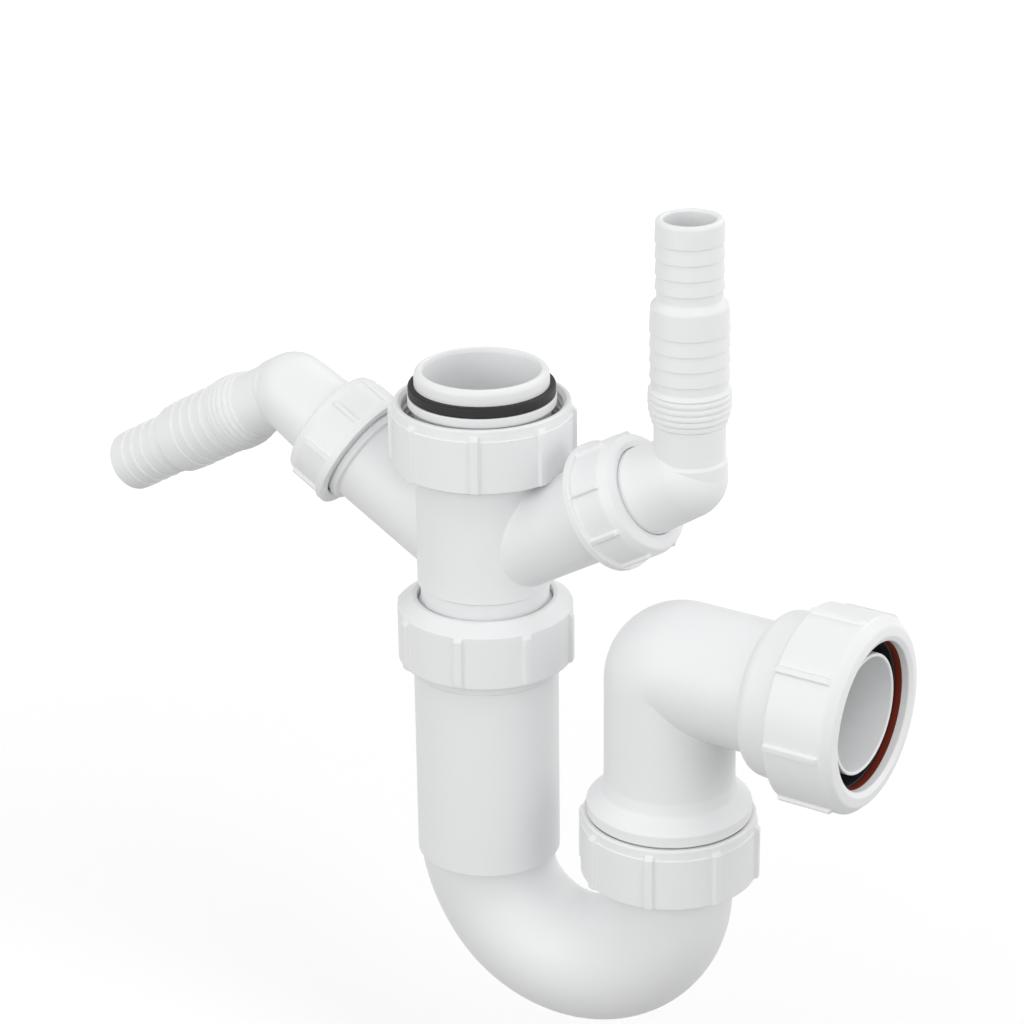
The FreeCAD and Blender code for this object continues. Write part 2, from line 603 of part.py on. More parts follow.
def make_outlet_elbow():
    """Riser tube, tight elbow and compression socket with its inner tube, moulded in one."""
    body = new_body("outlet_elbow")
    corner = dim.elbow_centreline
    mouth = riser_mouth - dim.outlet_height
    collar_bottom = dim.bend_nut_face - dim.outlet_height + dim.elbow_collar_gap
    collar_top = collar_bottom + dim.elbow_collar_height
    flare_top = collar_top + dim.elbow_flare_height
    turned(body, "elbow_riser", [
        (ZERO, mouth), (dim.male_radius, mouth), (dim.male_radius, collar_bottom),
        (dim.elbow_collar_radius, collar_bottom), (dim.elbow_collar_radius, collar_top),
        (dim.elbow_radius, flare_top), (dim.elbow_radius, -corner), (ZERO, -corner)])
    rounded(body, "flare_hollow", dim.elbow_flare_round, [(dim.elbow_radius, flare_top)])
    lying = (ZERO, ZERO, ZERO)
    turn = Size(-90.0, "-90")
    male_start = outlet_nut_back + dim.seat_gap
    turned(body, "socket", [
        (ZERO, corner), (dim.elbow_radius, corner), (dim.elbow_radius, socket_start),
        (dim.socket_shoulder, socket_start),
        (dim.socket_male_radius, male_start),
        (dim.socket_male_radius, dim.socket_end), (ZERO, dim.socket_end)], lying, turn)
    round_shoulder(body)
    corner_turn(body, "elbow_corner", dim.elbow_radius)
    annulus_start = socket_start + dim.socket_wall_back
    flare_start = dim.socket_end - dim.socket_flare
    flare_radius = dim.socket_bore + dim.socket_flare
    turned(body, "socket_cavity", [
        (ZERO, dim.socket_end + CAVITY_OVERLAP),
        (flare_radius + CAVITY_OVERLAP, dim.socket_end + CAVITY_OVERLAP),
        (dim.socket_bore, flare_start), (dim.socket_bore, annulus_start),
        (ZERO, annulus_start)], lying, turn, cut=True)
    turned(body, "liner", [
        (ZERO, annulus_start - CAVITY_OVERLAP),
        (dim.liner_radius, annulus_start - CAVITY_OVERLAP),
        (dim.liner_radius, liner_end), (ZERO, liner_end)], lying, turn)
    turned(body, "outlet_bore", [
        (ZERO, corner), (dim.elbow_bore, corner), (dim.elbow_bore, liner_end + CAVITY_OVERLAP),
        (ZERO, liner_end + CAVITY_OVERLAP)], lying, turn, cut=True)
    nose_room = dim.nose_radius + dim.bore_gap
    room_top = bend_flange_top + dim.nose_length + CAVITY_OVERLAP - dim.outlet_height
    turned(body, "riser_bore", [
        (ZERO, mouth - CAVITY_OVERLAP), (nose_room, mouth - CAVITY_OVERLAP),
        (nose_room, room_top), (dim.elbow_bore, room_top + (nose_room - dim.elbow_bore)),
        (dim.elbow_bore, -corner), (ZERO, -corner)], cut=True)
    corner_turn(body, "corner_bore", dim.elbow_bore, cut=True)
    body.Placement = socket_frame()
    return body


def corner_turn(body, name, radius, cut=False):
    """A quarter turn of the part of the tube's section outside the elbow's centre of bending."""
    corner = dim.elbow_centreline
    sketch = new_sketch(body, name + "_section", "XY_Plane", (corner, ZERO, -corner))
    reach = math.sqrt(radius.value ** 2 - corner.value ** 2)
    circle = Part.Circle(FreeCAD.Vector(-corner.value, 0, 0), FreeCAD.Vector(0, 0, 1), radius.value)
    start = math.atan2(reach, corner.value)
    sketch.addGeometry(Part.ArcOfCircle(circle, start, 2 * math.pi - start))
    top = FreeCAD.Vector(0, reach, 0)
    sketch.addGeometry(Part.LineSegment(-top, top))
    sketch.addConstraint(Sketcher_constraint("Coincident", 0, 2, 1, 1))
    sketch.addConstraint(Sketcher_constraint("Coincident", 0, 1, 1, 2))
    sketch.addConstraint(Sketcher_constraint("PointOnObject", 0, 3, -1))
    sketch.addConstraint(Sketcher_constraint("PointOnObject", 1, 1, -2))
    sketch.addConstraint(Sketcher_constraint("PointOnObject", 1, 2, -2))
    index = sketch.addConstraint(Sketcher_constraint("DistanceX", -1, 1, 0, 3, -corner.value))
    sketch.setExpression(f"Constraints[{index}]", (-corner).formula)
    index = sketch.addConstraint(Sketcher_constraint("Radius", 0, radius.value))
    sketch.setExpression(f"Constraints[{index}]", radius.formula)
    feature = body.newObject("PartDesign::Groove" if cut else "PartDesign::Revolution", name)
    feature.Profile = sketch
    feature.ReferenceAxis = (sketch, ["V_Axis"])
    feature.Angle = 90
    body.Tip = feature
    return feature


def round_shoulder(body):
    """Round the socket's shoulder, a circular edge about the outlet's axis."""
    doc.recompute()
    edges = []
    for number, edge in enumerate(body.Shape.Edges, start=1):
        if not isinstance(edge.Curve, Part.Circle):
            continue
        if abs(edge.Curve.Radius - dim.socket_shoulder.value) > 0.02:
            continue
        if abs(edge.Curve.Center.x - socket_start.value) < 0.02:
            edges.append(f"Edge{number}")
    fillet(body, "socket_shoulder_round", dim.socket_round, edges)


def lie_along_outlet(body, distance, turn):
    """Lay a nut along the outlet, its mouth at the given distance, its first rib turn past the top."""
    lean = FreeCAD.Rotation(FreeCAD.Vector(0, 1, 0), 90)
    spin = FreeCAD.Rotation(FreeCAD.Vector(0, 0, 1), 180 + turn.value)
    local = FreeCAD.Placement(FreeCAD.Vector(distance.value, 0, 0), lean.multiply(spin))
    body.Placement = socket_frame().multiply(local)


def make_outlet_rings():
    """The slip washer under the nut's lip and the tapered rubber seal behind it."""
    outer = dim.socket_male_radius - dim.seat_gap
    slip = washer("outlet_slip_washer", dim.outlet_hole - dim.seat_gap, outer,
                  slip_washer_back, slip_washer_front)
    slip.Placement = socket_frame().multiply(along_outlet())
    seal = new_body("outlet_seal")
    gap = dim.seat_gap / 4
    front = slip_washer_back - gap
    flare_start = dim.socket_end - dim.socket_flare
    tail_end = flare_start - dim.seal_tail
    taper_radius = dim.socket_bore + dim.socket_flare - gap
    turned(seal, "seal_ring", [
        (dim.seal_bore, tail_end), (dim.socket_bore - gap, tail_end),
        (dim.socket_bore - gap, flare_start), (taper_radius, dim.socket_end),
        (taper_radius, front), (dim.seal_bore, front)])
    seal.Placement = socket_frame().multiply(along_outlet())


def along_outlet():
    """Turn +Z of a ring's own frame to the outlet's direction."""
    return FreeCAD.Placement(FreeCAD.Vector(0, 0, 0), FreeCAD.Rotation(FreeCAD.Vector(0, 1, 0), 90))


def barb_points(start, crest, pitch, count):
    """Saw-tooth rings: each rises sharply and falls away towards the nozzle's tip."""
    points = []
    root = crest - dim.barb_depth
    for number in range(count):
        foot = start + pitch * number
        points.append((root, foot))
        points.append((crest, foot))
    return points


def ridge_points():
    """The ridged stretch: round-topped rings, the lowest ones smaller."""
    count = int(dim.ridge_count.value)
    spare = 0.3
    pitch = (dim.ridge_end - dim.ridge_start) / (count + spare)
    crest_half = pitch * RIDGE_CREST_SHARE
    points = [(dim.nozzle_radius, dim.ridge_start)]
    for number in range(count):
        share = LOW_RIDGE_SHARES[number] if number < len(LOW_RIDGE_SHARES) else 0.0
        shrink = dim.ridge_depth * share
        middle = dim.ridge_start + pitch * (number + 0.5)
        root = dim.ridge_radius - dim.ridge_depth - shrink
        points.append((root, middle - pitch / 2))
        points.append((dim.ridge_radius - shrink, middle - crest_half))
        points.append((dim.ridge_radius - shrink, middle + crest_half))
    points.append((dim.wide_barb_radius - dim.barb_depth, dim.ridge_end))
    return points


def make_nozzle(label, side, turn):
    """A hose nozzle: nose and flange in the arm, a bent elbow, ridges and two sizes of barb."""
    body = new_body(label)
    nose_end = arm_flange_bottom - dim.arm_nose_length
    turned(body, label + "_stub", [
        (ZERO, nose_end), (arm_nose_radius, nose_end), (arm_nose_radius, arm_flange_bottom),
        (dim.arm_flange_radius, arm_flange_bottom), (dim.arm_flange_radius, arm_flange_top),
        (dim.stub_radius, arm_flange_top), (dim.stub_radius, arm_nut_face + dim.stub_land),
        (dim.nozzle_corner_radius, dim.nozzle_corner), (ZERO, dim.nozzle_corner)])
    turned_ball(body, label + "_corner", dim.nozzle_corner_radius, (ZERO, dim.nozzle_corner, ZERO))
    at = (-(dim.nozzle_offset * cosine(dim.nozzle_bend)),
          dim.nozzle_corner + dim.nozzle_offset * sine(dim.nozzle_bend), ZERO)
    count = int(dim.barb_count.value)
    root = dim.slim_barb_radius - dim.barb_depth
    wide_root = dim.wide_barb_radius - dim.barb_depth
    last_barb = dim.slim_barb_start + dim.barb_pitch * (count - 1)
    outline = [
        (ZERO, ZERO), (dim.nozzle_collar_radius, ZERO),
        (dim.nozzle_collar_radius, dim.nozzle_collar_height),
        (dim.nozzle_radius, dim.nozzle_collar_height + dim.edge_break * 2)]
    outline += ridge_points()
    outline += barb_points(dim.wide_barb_start, dim.wide_barb_radius, dim.barb_pitch, count)
    outline += [(wide_root, dim.wide_barb_end - dim.tip_round),
                (wide_root - dim.barb_depth, dim.wide_barb_end),
                (root, dim.wide_barb_end + dim.tip_round)]
    outline += barb_points(dim.slim_barb_start, dim.slim_barb_radius, dim.barb_pitch, count - 1)
    outline += [(root, last_barb), (dim.tip_radius, last_barb),
                (dim.tip_radius, dim.tip_end - dim.tip_round),
                (dim.tip_radius - dim.tip_round * 0.3, dim.tip_end - dim.tip_round * 0.3),
                (dim.tip_radius - dim.tip_round, dim.tip_end), (ZERO, dim.tip_end)]
    turned(body, label + "_hose_end", outline, at, -dim.nozzle_bend)
    turned(body, label + "_stub_bore", [
        (ZERO, nose_end - CAVITY_OVERLAP), (dim.stub_bore, nose_end - CAVITY_OVERLAP),
        (dim.stub_bore, dim.nozzle_corner), (ZERO, dim.nozzle_corner)], cut=True)
    back = -(dim.nozzle_bore / 2)
    turned(body, label + "_hose_bore", [
        (ZERO, back), (dim.nozzle_bore, back), (dim.nozzle_bore, dim.tip_end + CAVITY_OVERLAP),
        (ZERO, dim.tip_end + CAVITY_OVERLAP)], at, -dim.nozzle_bend, cut=True)
    body.Placement = tilt_to_arm(side).multiply(nozzle_set(side, turn))
    return body


def nozzle_set(side, turn):
    """Turn a nozzle about its arm; at zero its hose end stands upright."""
    facing_up = 180 if side > 0 else 0
    return FreeCAD.Placement(
        FreeCAD.Vector(0, 0, 0),
        FreeCAD.Rotation(FreeCAD.Vector(0, 0, 1), facing_up + turn.value))


def make_arm_nut(label, side, turn):
    mouth = dim.arm_male_radius + dim.bore_gap
    rim = dim.arm_nut_body + dim.arm_nut_rim
    body = new_body(label)
    hole = dim.stub_radius + dim.bore_gap
    shoulder = dim.arm_nut_height - dim.arm_nut_dome
    turned(body, label + "_shell", [
        (mouth + dim.edge_break, ZERO), (rim, ZERO), (rim, dim.arm_nut_rim_width),
        (dim.arm_nut_body, dim.arm_nut_rim_width + dim.arm_nut_rim / 2),
        (dim.arm_nut_body, shoulder),
        (dim.arm_nut_body - dim.arm_nut_shoulder, dim.arm_nut_height - dim.arm_nut_dome / 3),
        (hole + dim.arm_nut_land, dim.arm_nut_height), (hole, dim.arm_nut_height),
        (hole, dim.arm_nut_height - dim.arm_lip), (mouth, dim.arm_nut_height - dim.arm_lip),
        (mouth, dim.edge_break)])
    low = dim.arm_nut_rim_width / 2
    high = shoulder + dim.rib_bevel
    crest_share = 0.9
    width_share = 0.8
    crest = dim.arm_nut_body + dim.arm_nut_rim * crest_share
    foot = dim.arm_nut_body - CAVITY_OVERLAP
    rib = new_sketch(body, label + "_rib_side")
    draw_outline(rib, [(foot, low), (crest, low), (crest, high - dim.rib_bevel * 2), (foot, high)])
    pad = body.newObject("PartDesign::Pad", label + "_rib")
    pad.Profile = rib
    pad.Midplane = True
    width = dim.rib_width * width_share
    pad.Length = width.value
    pad.setExpression("Length", width.formula)
    ribs = body.newObject("PartDesign::PolarPattern", label + "_ribs")
    ribs.Originals = [pad]
    ribs.Axis = (rib, ["V_Axis"])
    ribs.Angle = 360
    ribs.Occurrences = int(dim.rib_count.value)
    ribs.setExpression("Occurrences", dim.rib_count.formula)
    body.Tip = ribs
    local = FreeCAD.Placement(
        FreeCAD.Vector(0, 0, dim.arm_nut_mouth.value),
        FreeCAD.Rotation(FreeCAD.Vector(0, 0, 1), turn.value))
    body.Placement = tilt_to_arm(side).multiply(local)
    return body


def make_large_nuts():
    """Inlet, middle and bend nuts are one pattern in two sizes; the outlet nut is the widest."""
    ribs = (dim.rib_start, dim.large_nut_height - dim.rib_start)
    inlet = union_nut(
        "inlet_nut", dim.inlet_mouth_radius, dim.inlet_nut_body, dim.tee_radius + dim.nut_hole_gap,
        dim.large_nut_height, dim.large_lip, dim.inlet_nut_body - dim.nut_taper_step, dim.nut_taper,
        dim.nut_face_bevel, dim.nut_face_land, ribs)
    upright(inlet, ZERO, -dim.inlet_nut_drop, True, dim.inlet_rib_angle)
    mouth = dim.male_radius + dim.bore_gap
    middle = union_nut(
        "middle_nut", mouth, dim.large_nut_body, dim.tee_radius + dim.nut_hole_gap / 2,
        dim.large_nut_height, dim.large_lip, dim.large_nut_body - dim.edge_break / 2,
        dim.edge_break, dim.middle_nut_dome, dim.middle_nut_land,
        (dim.edge_break, dim.large_nut_height - dim.middle_rib_top))
    upright(middle, ZERO, middle_nut_mouth, False, dim.middle_rib_angle)
    bend = union_nut(
        "bend_nut", mouth, dim.large_nut_body, dim.bend_radius + dim.nut_hole_gap,
        dim.large_nut_height, dim.large_lip, dim.large_nut_body - dim.nut_taper_step / 2,
        dim.nut_taper, dim.nut_face_bevel, dim.nut_face_land, ribs)
    upright(bend, dim.centre_distance, dim.bend_nut_face, True, dim.bend_rib_angle)
    outlet = union_nut(
        "outlet_nut", dim.socket_male_radius + dim.bore_gap, dim.outlet_nut_body, dim.outlet_hole,
        dim.outlet_nut_height, dim.outlet_lip, dim.outlet_nut_body - dim.edge_break,
        dim.edge_break, dim.outlet_nut_dome, dim.outlet_nut_land,
        (dim.edge_break, dim.outlet_nut_height - dim.outlet_rib_end))
    lie_along_outlet(outlet, outlet_nut_back, dim.outlet_rib_angle)


def make_washers():
    gap = dim.seat_gap / 4
    inlet_hole = dim.spigot_radius - dim.spigot_seat_depth + gap
    washer("inlet_washer", inlet_hole, dim.washer_radius, inlet_washer_back, ZERO,
           relief=dim.spigot_seat_depth)
    washer("middle_washer", dim.nose_radius + gap, dim.washer_radius, leg_mouth,
           middle_flange_bottom)
    riser = FreeCAD.Placement(
        FreeCAD.Vector(dim.centre_distance.value, 0, 0), FreeCAD.Rotation())
    washer("bend_washer", dim.nose_radius + gap, dim.washer_radius, bend_flange_top, riser_mouth,
           riser)
    for label, side in (("left_washer", -1), ("right_washer", 1)):
        washer(label, arm_nose_radius + gap, dim.arm_flange_radius, arm_end, arm_flange_bottom,
               tilt_to_arm(side))


make_tee_body()
make_trap_body()
make_outlet_elbow()
make_large_nuts()
make_washers()
make_outlet_rings()
make_arm_nut("left_nut", -1, dim.left_rib_angle)
make_arm_nut("right_nut", 1, dim.right_rib_angle)
make_nozzle("left_nozzle", -1, dim.left_nozzle_turn)
make_nozzle("right_nozzle", 1, dim.right_nozzle_turn)
doc.recompute()

for item in doc.Objects:
    if "Invalid" in item.State or "Error" in item.State:
        raise RuntimeError(f"{item.Name}: {item.State}")

os.makedirs("parts", exist_ok=True)
for item in doc.Objects:
    if item.TypeId != "PartDesign::Body":
        continue
    if item.Shape.isNull() or not item.Shape.isValid():
        raise RuntimeError(f"{item.Label} has no valid shape")
    item.Shape.exportStep(f"parts/{item.Label}.step")
    box = item.Shape.BoundBox
    print(f"{item.Label}: {len(item.Shape.Solids)} solid, {item.Shape.Volume / 1000:.2f} cm3, "
          f"z {box.ZMin:.1f} to {box.ZMax:.1f}")
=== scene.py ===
import bmesh
import bpy
import math
from mathutils import Matrix, Vector


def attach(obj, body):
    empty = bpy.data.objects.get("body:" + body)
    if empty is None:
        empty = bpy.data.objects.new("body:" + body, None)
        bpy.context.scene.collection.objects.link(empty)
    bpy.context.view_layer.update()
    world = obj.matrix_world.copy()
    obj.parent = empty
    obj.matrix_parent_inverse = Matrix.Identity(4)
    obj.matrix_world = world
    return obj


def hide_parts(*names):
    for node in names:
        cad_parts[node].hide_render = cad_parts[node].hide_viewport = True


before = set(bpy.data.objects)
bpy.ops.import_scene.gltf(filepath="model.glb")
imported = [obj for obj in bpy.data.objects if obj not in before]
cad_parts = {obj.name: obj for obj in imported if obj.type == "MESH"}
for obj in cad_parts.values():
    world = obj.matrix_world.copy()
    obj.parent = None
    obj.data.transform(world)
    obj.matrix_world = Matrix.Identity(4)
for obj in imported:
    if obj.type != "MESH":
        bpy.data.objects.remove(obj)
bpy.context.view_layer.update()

MM = 0.001

# Sizes in millimetres and degrees, the same as the solids'. Heights count from the washer's
# face on the inlet, as theirs do.
TEE_TURN = -2.2
OUTLET_TURN = 3.6
ARM_HEIGHT = -55.3
ARM_SLOPE = 30.1
ARM_RADIUS = 14.4
ARM_PASSAGE = 10.8
ARM_NUT_MOUTH = 49.3
TEE_RADIUS = 20.4
TEE_BORE = 17.5
CENTRES = 62.9
OUTLET_HEIGHT = -77.2
BEND_HEIGHT = -153.4
BEND_RADIUS = 19.5
BEND_BORE = 17.1
BEND_START_RADIUS = 21.3
BEND_START_ANGLE = 38
ELBOW_RADIUS = 19.7
ELBOW_BORE = 16.8
ELBOW_BEND = 5.2
OUTLET_NUT_BACK = 46.8
NOZZLE_TURN = {"left": 178.1, "right": 0.8}
NOZZLE_CORNER = 78.9
NOZZLE_CORNER_RADIUS = 12.45
NOZZLE_BEND = 60.2
NOZZLE_OFFSET = 1.6
INLET_NUT_MOUTH = -5.1
MIDDLE_NUT_MOUTH = -87.8
BEND_NUT_MOUTH = -126.0
NUT_TURN = {
    "inlet": -24.8, "middle": 12.3, "bend": -14.0, "outlet": 4.3, "left": 9.0, "right": 17.7}
SIDE = {"left": -1, "right": 1}
RIB_COUNT = 8
# A nut's ribs only move the points of its outline that lie less than this under its wall.
RIB_ROOT = 1.5

# Steps in a rounding of a quarter turn, and round a piece.
ROUND_STEPS = 6
RING_SEGMENTS = 128
# From the end of a straight run to the extra point near it.
SUPPORT = 0.22
# Points closer than this are one, and edges that turn by more degrees than this are sharp.
SAME_POINT = 0.002
SHARP_ANGLE = 38


def turn_x(degrees):
    return Matrix.Rotation(math.radians(degrees), 4, "X")


def turn_y(degrees):
    return Matrix.Rotation(math.radians(degrees), 4, "Y")


def turn_z(degrees):
    return Matrix.Rotation(math.radians(degrees), 4, "Z")


def move(x, y, z):
    return Matrix.Translation(Vector((x, y, z)))


def arm_frame(side):
    """+Z runs out along the arm, from the inlet's axis."""
    return move(0, 0, ARM_HEIGHT) @ turn_z(TEE_TURN) @ turn_y(SIDE[side] * (90 - ARM_SLOPE))


def nozzle_frame(side):
    facing_up = 180 if side == "right" else 0
    return arm_frame(side) @ turn_z(facing_up + NOZZLE_TURN[side])


def elbow_frame():
    return move(CENTRES, 0, OUTLET_HEIGHT) @ turn_z(-OUTLET_TURN)


def outlet_frame():
    """+Z runs out along the outlet, from the riser's axis."""
    return elbow_frame() @ turn_y(90)


def rounded_outline(corners, closed=True):
    """The points of an outline whose corners are (radius, height) or (radius, height, rounding)."""
    nearly_straight, most_of_run = 0.02, 0.49
    count = len(corners)
    points = []
    for index, corner in enumerate(corners):
        here = Vector(corner[:2])
        size = corner[2] if len(corner) > 2 else 0
        inner = closed or 0 < index < count - 1
        if size <= 0 or not inner:
            points.append(here)
            continue
        before = Vector(corners[index - 1][:2]) - here
        after = Vector(corners[(index + 1) % count][:2]) - here
        angle = before.angle(after)
        if angle > math.pi - nearly_straight:
            points.append(here)
            continue
        shorter_run = min(before.length, after.length)
        reach = min(size / math.tan(angle / 2), shorter_run * most_of_run)
        size = reach * math.tan(angle / 2)
        middle = (before.normalized() + after.normalized()).normalized()
        centre = here + middle * (size / math.sin(angle / 2))
        first = here + before.normalized() * reach - centre
        last = here + after.normalized() * reach - centre
        swing = first.angle_signed(last)
        steps = max(2, int(ROUND_STEPS * abs(swing) / (math.pi / 2)) + 1)
        start = math.atan2(first.y, first.x)
        for step in range(steps + 1):
            bearing = start - swing * step / steps
            points.append(centre + size * Vector((math.cos(bearing), math.sin(bearing))))
    return with_supports(points, closed)


def with_supports(points, closed):
    """Extra points near the ends of long runs, so that shading stays flat along them."""
    result = []
    count = len(points)
    for index, here in enumerate(points):
        result.append(here)
        if index == count - 1 and not closed:
            break
        there = points[(index + 1) % count]
        length = (there - here).length
        if length > 4 * SUPPORT:
            result.append(here.lerp(there, SUPPORT / length))
            result.append(here.lerp(there, 1 - SUPPORT / length))
    return result


def arc(radius, height, size, first, last, steps=8):
    """Points of a rounding about (radius, height), between two angles in degrees."""
    bearings = [math.radians(first + (last - first) * step / steps) for step in range(steps + 1)]
    return [(radius + size * math.cos(b), height + size * math.sin(b)) for b in bearings]


def skin(rows, closed_rows=True):
    """Rows of points joined into faces; each row is a ring about the piece."""
    width = len(rows[0])
    points = [point * MM for row in rows for point in row]
    faces = []
    last = len(rows) if closed_rows else len(rows) - 1
    for index in range(last):
        base = index * width
        top = ((index + 1) % len(rows)) * width
        for step in range(width):
            after = (step + 1) % width
            faces.append((base + step, base + after, top + after, top + step))
    return points, faces


def lathe(outline, matrix, angles=None, bulge=None):
    """Turn a closed outline about +Z. bulge gives an added radius at (degrees, radius, height)."""
    angles = angles or [360 * step / RING_SEGMENTS for step in range(RING_SEGMENTS)]
    rows = []
    for point in outline:
        row = []
        for angle in angles:
            radius = point.x + (bulge(angle, point.x, point.y) if bulge else 0)
            bearing = math.radians(angle)
            across, level = radius * math.cos(bearing), radius * math.sin(bearing)
            row.append(matrix @ Vector((across, level, point.y)))
        rows.append(row)
    return skin(rows)


def sweep(rings, matrix):
    """Rings are (centre, first axis, second axis, radius, reach): a skin through circles.

    Where reach is a number, points whose first coordinate falls below it are held at it.
    """
    rows = []
    for centre, first, second, radius, reach in rings:
        row = []
        for step in range(RING_SEGMENTS):
            bearing = 2 * math.pi * step / RING_SEGMENTS
            across = radius * math.cos(bearing)
            if reach is not None:
                across = max(across, reach)
            row.append(matrix @ (centre + first * across + second * (radius * math.sin(bearing))))
        rows.append(row)
    return skin(rows)


def make_piece(node, parts, body, material):
    """One piece from several skins, standing for a CAD node and moving with a body."""
    points, faces = [], []
    for part_points, part_faces in parts:
        base = len(points)
        points.extend(part_points)
        faces.extend(tuple(base + corner for corner in face) for face in part_faces)
    name = node + "_visual"
    mesh = bpy.data.meshes.new(name)
    mesh.from_pydata([tuple(point) for point in points], [], faces)
    mesh.update()
    work = bmesh.new()
    work.from_mesh(mesh)
    bmesh.ops.remove_doubles(work, verts=work.verts, dist=SAME_POINT * MM)
    bmesh.ops.recalc_face_normals(work, faces=work.faces)
    work.to_mesh(mesh)
    work.free()
    mesh.shade_smooth()
    mesh.set_sharp_from_angle(angle=math.radians(SHARP_ANGLE))
    mesh.materials.append(material)
    piece = bpy.data.objects.new(name, mesh)
    bpy.context.scene.collection.objects.link(piece)
    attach(piece, body)
    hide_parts(node)


# The fine grain that every plastic has: its scale, its octaves and its height in metres.
GRAIN_SCALE = 900
GRAIN_OCTAVES = 3
GRAIN_HEIGHT = 0.0004


def plastic(name, colour, roughness, grain, gloss=0.4):
    """A plain plastic; grain is the share of its grain that shows."""
    material = bpy.data.materials.new(name)
    material["slot"] = name
    material.use_nodes = True
    nodes = material.node_tree.nodes
    links = material.node_tree.links
    shader = nodes["Principled BSDF"]
    shader.inputs["Base Color"].default_value = (*colour, 1)
    shader.inputs["Roughness"].default_value = roughness
    shader.inputs["Specular IOR Level"].default_value = gloss
    noise = nodes.new("ShaderNodeTexNoise")
    noise.inputs["Scale"].default_value = GRAIN_SCALE
    noise.inputs["Detail"].default_value = GRAIN_OCTAVES
    bump = nodes.new("ShaderNodeBump")
    bump.inputs["Strength"].default_value = grain
    bump.inputs["Distance"].default_value = GRAIN_HEIGHT
    place = nodes.new("ShaderNodeTexCoord")
    links.new(place.outputs["Object"], noise.inputs["Vector"])
    links.new(noise.outputs["Fac"], bump.inputs["Height"])
    links.new(bump.outputs["Normal"], shader.inputs["Normal"])
    return material


WHITE = plastic("white_plastic", (0.83, 0.835, 0.84), 0.42, 0.02)
BLACK = plastic("black_rubber", (0.012, 0.012, 0.013), 0.55, 0.1)
RED = plastic("red_washer", (0.17, 0.02, 0.008), 0.5, 0.02, 0.25)


def rib_bulge(wall, rib):
    """Grip ribs on a nut's wall.

    rib is (height, half crest, flank, low, high, low end, high end): the last four are the heights
    at which the ribs begin and end, and the lengths over which they rise and fall there.
    """
    height, half_crest, flank, low, high, low_end, high_end = rib
    pitch = 360 / RIB_COUNT

    def bulge(angle, radius, at_height):
        if radius < wall - RIB_ROOT or not low < at_height < high:
            return 0
        off = abs((angle + pitch / 2) % pitch - pitch / 2)
        distance = math.radians(off) * wall
        across = min(max((half_crest + flank - distance) / flank, 0), 1)
        along = min((at_height - low) / low_end, (high - at_height) / high_end, 1)
        smooth = across * across * (3 - 2 * across)
        return max(0, wall + height - radius) * smooth * along

    return bulge


def thread_bulge(wall, depth, pitch, low, high):
    """A screw thread that stands inwards from a wall, between two heights."""
    near = 0.05
    # Across its pitch the thread rises and falls evenly, with a flat crest between.
    crest, steepness = 1.5, 5

    def bulge(angle, radius, at_height):
        if abs(radius - wall) > near or not low < at_height < high:
            return 0
        phase = (at_height / pitch - angle / 360) % 1
        wave = min(max(crest - abs(phase - 0.5) * steepness, 0), 1)
        ends = min(1, (at_height - low) / pitch, (high - at_height) / pitch)
        return -depth * wave * ends

    return bulge


def rib_columns():
    """Angles round a nut, closer together near each rib."""
    coarse, fine, spread = 3.75, 0.3, 18
    angles = {coarse * step for step in range(int(360 / coarse))}
    for index in range(RIB_COUNT):
        centre = 360 * index / RIB_COUNT
        for step in range(-spread, spread + 1):
            angles.add(round((centre + step * fine) % 360, 4))
    return sorted(angles)


def ready_for_ribs(outline, wall, rib):
    """More points up a nut's wall, with some at the heights where the ribs end."""
    shortest, spacing, tiny = 0.3, 0.8, 0.01
    low, high, low_end, high_end = rib[3:]
    marks = [low, low + low_end / 2, low + low_end, high - high_end, high - high_end / 2, high]
    result = []
    for index, here in enumerate(outline):
        there = outline[(index + 1) % len(outline)]
        run = there - here
        result.append(here)
        if min(here.x, there.x) < wall - RIB_ROOT or run.length < shortest:
            continue
        count = int(run.length / spacing) + 1
        shares = {step / count for step in range(1, count)}
        if abs(run.y) > tiny:
            shares |= {(mark - here.y) / run.y for mark in marks}
        result.extend(here + run * share for share in sorted(shares)
                      if tiny < share < 1 - tiny)
    return result


def ribbed_nut(node, matrix, outline, wall, rib, thread=None):
    ribs = rib_bulge(wall, rib)

    def bulge(angle, radius, height):
        return ribs(angle, radius, height) + (thread(angle, radius, height) if thread else 0)

    outline = ready_for_ribs(outline, wall, rib)
    make_piece(node, [lathe(outline, matrix, rib_columns(), bulge)], node, WHITE)


def mouth_up_nut(node, matrix, mouth, wall, hole, rim, taper):
    """The inlet and bend nuts: threaded, with a narrower band at the mouth."""
    height, lip = 20.0, 3.2
    pitch, depth, first_turn, spacing = 2.31, 0.7, 1.9, 0.3
    root = mouth - 0.1
    outside = rounded_outline([
        (root, 1.2), (mouth + 0.9, 0, 0.3), (rim, 0, 0.6), (wall - 0.35, taper - 0.2, 0.1),
        (wall, taper, 0.15), (wall, height - 0.6, 0.4), (hole + 5, height, 0.3),
        (hole, height, 0.3), (hole, height - lip)], closed=False)
    rise = height - lip - 1.3
    count = int(rise / spacing)
    inside = [Vector((root, height - lip - rise * step / count)) for step in range(count)]
    thread = thread_bulge(root, depth, pitch, first_turn, height - lip - 0.5)
    rib = (1.1, 1.0, 0.65, 1.6, height - 0.5, 1.3, 0.4)
    ribbed_nut(node, matrix, outside + inside, wall, rib, thread)


